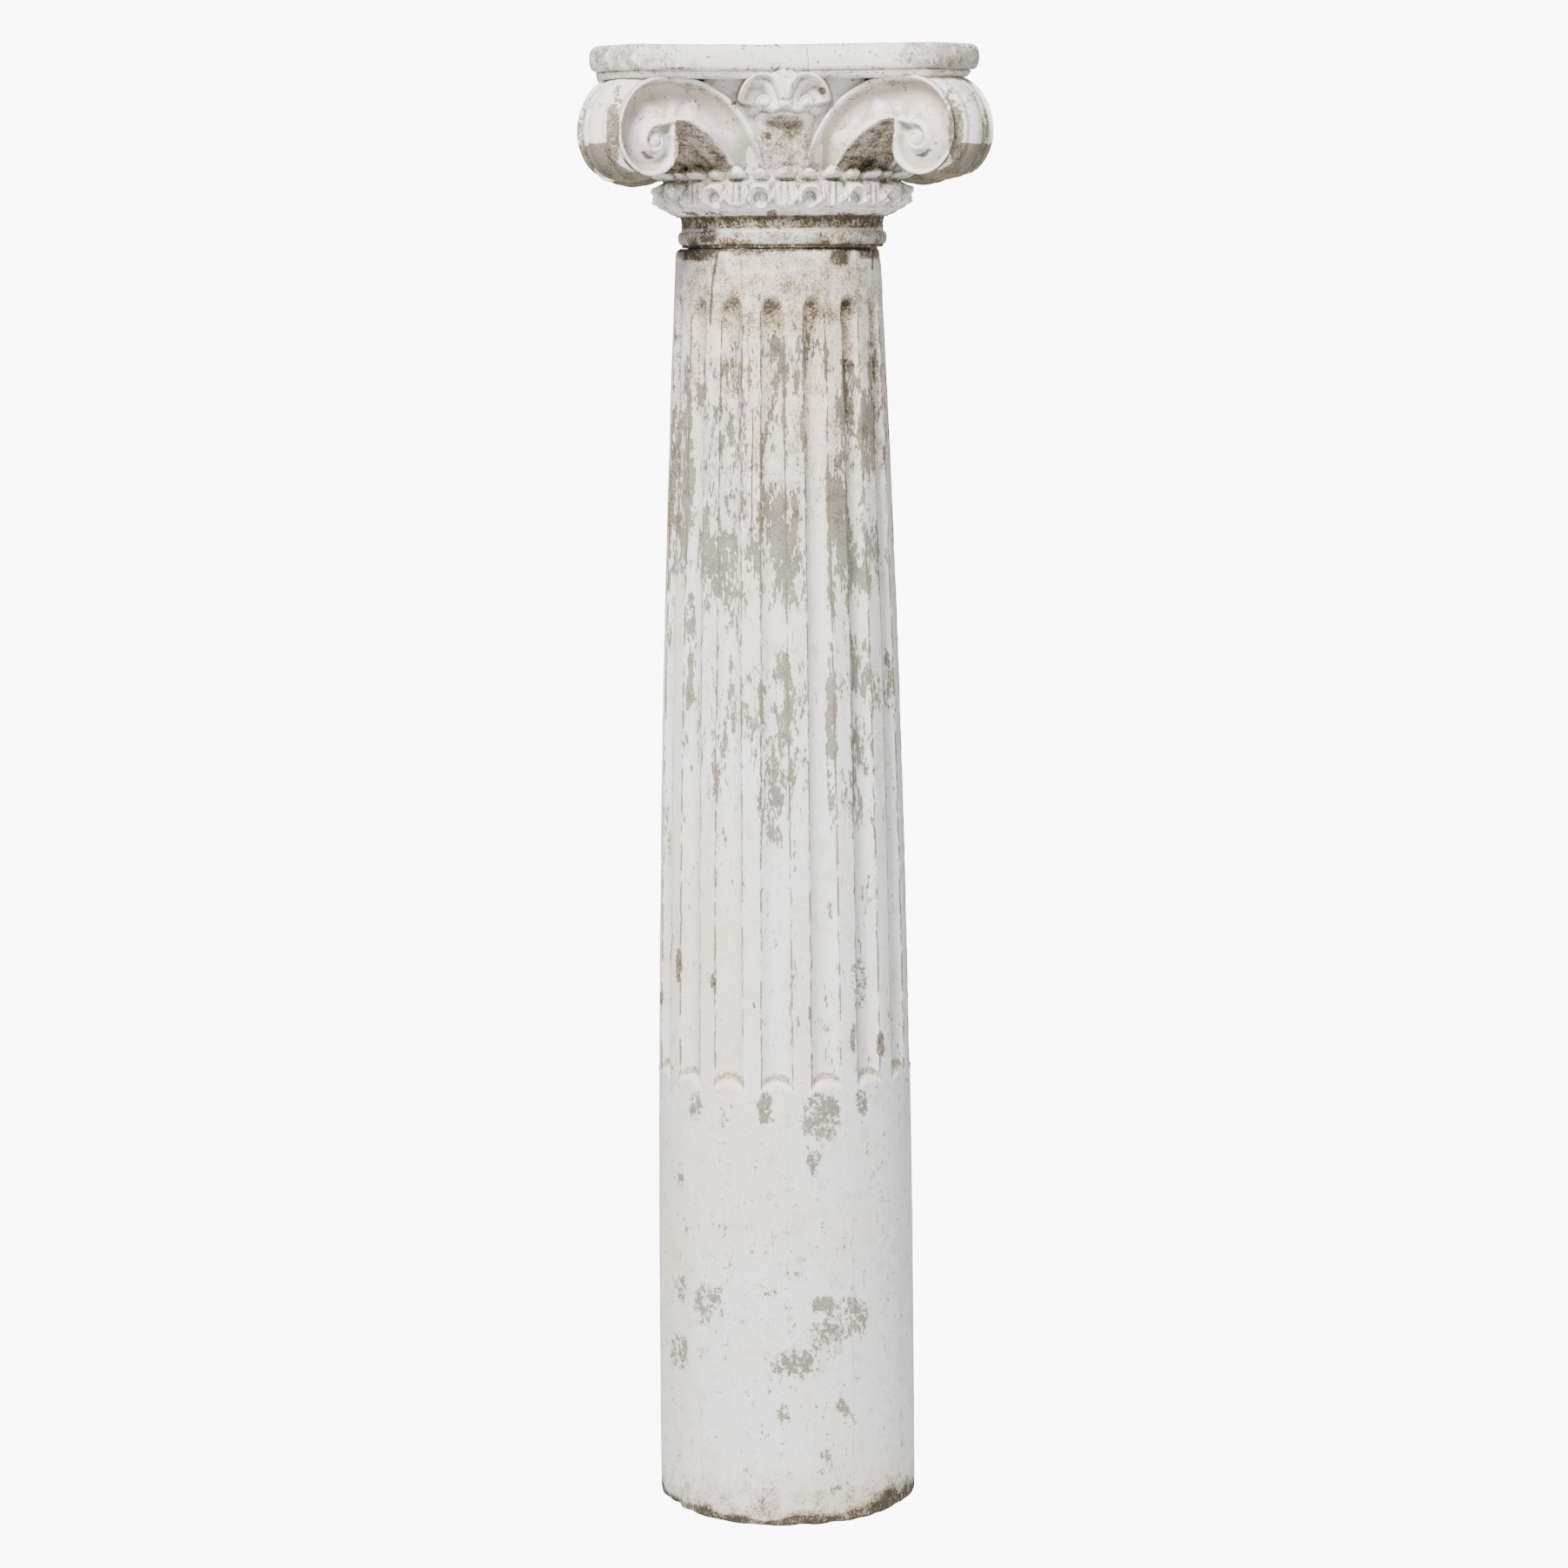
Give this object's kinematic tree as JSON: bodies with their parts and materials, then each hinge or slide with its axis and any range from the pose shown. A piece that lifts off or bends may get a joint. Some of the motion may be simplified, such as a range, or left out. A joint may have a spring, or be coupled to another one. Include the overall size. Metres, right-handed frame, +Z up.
{
  "type": "ionic column",
  "caption": "Salvaged cast-stone column with a stopped-fluted tapering shaft and an angular Ionic capital under a concave-sided abacus, in old flaking white paint.",
  "frame": {"origin": "centre of the shaft's foot, where it meets the floor", "axes": "+Z up along the shaft, the side in the picture faces -Y, +X to the right of the picture"},
  "size_m": [0.497, 0.497, 1.8],
  "materials": {
    "weathered_shaft": "flaking white and cream paint over grey cast stone, matt",
    "painted_capital": "chalky white paint over cast stone, dirt and moss in the hollows"
  },
  "bodies": {
    "root": {"shaft": "weathered_shaft", "capital": "painted_capital"}
  },
  "joints": []
}
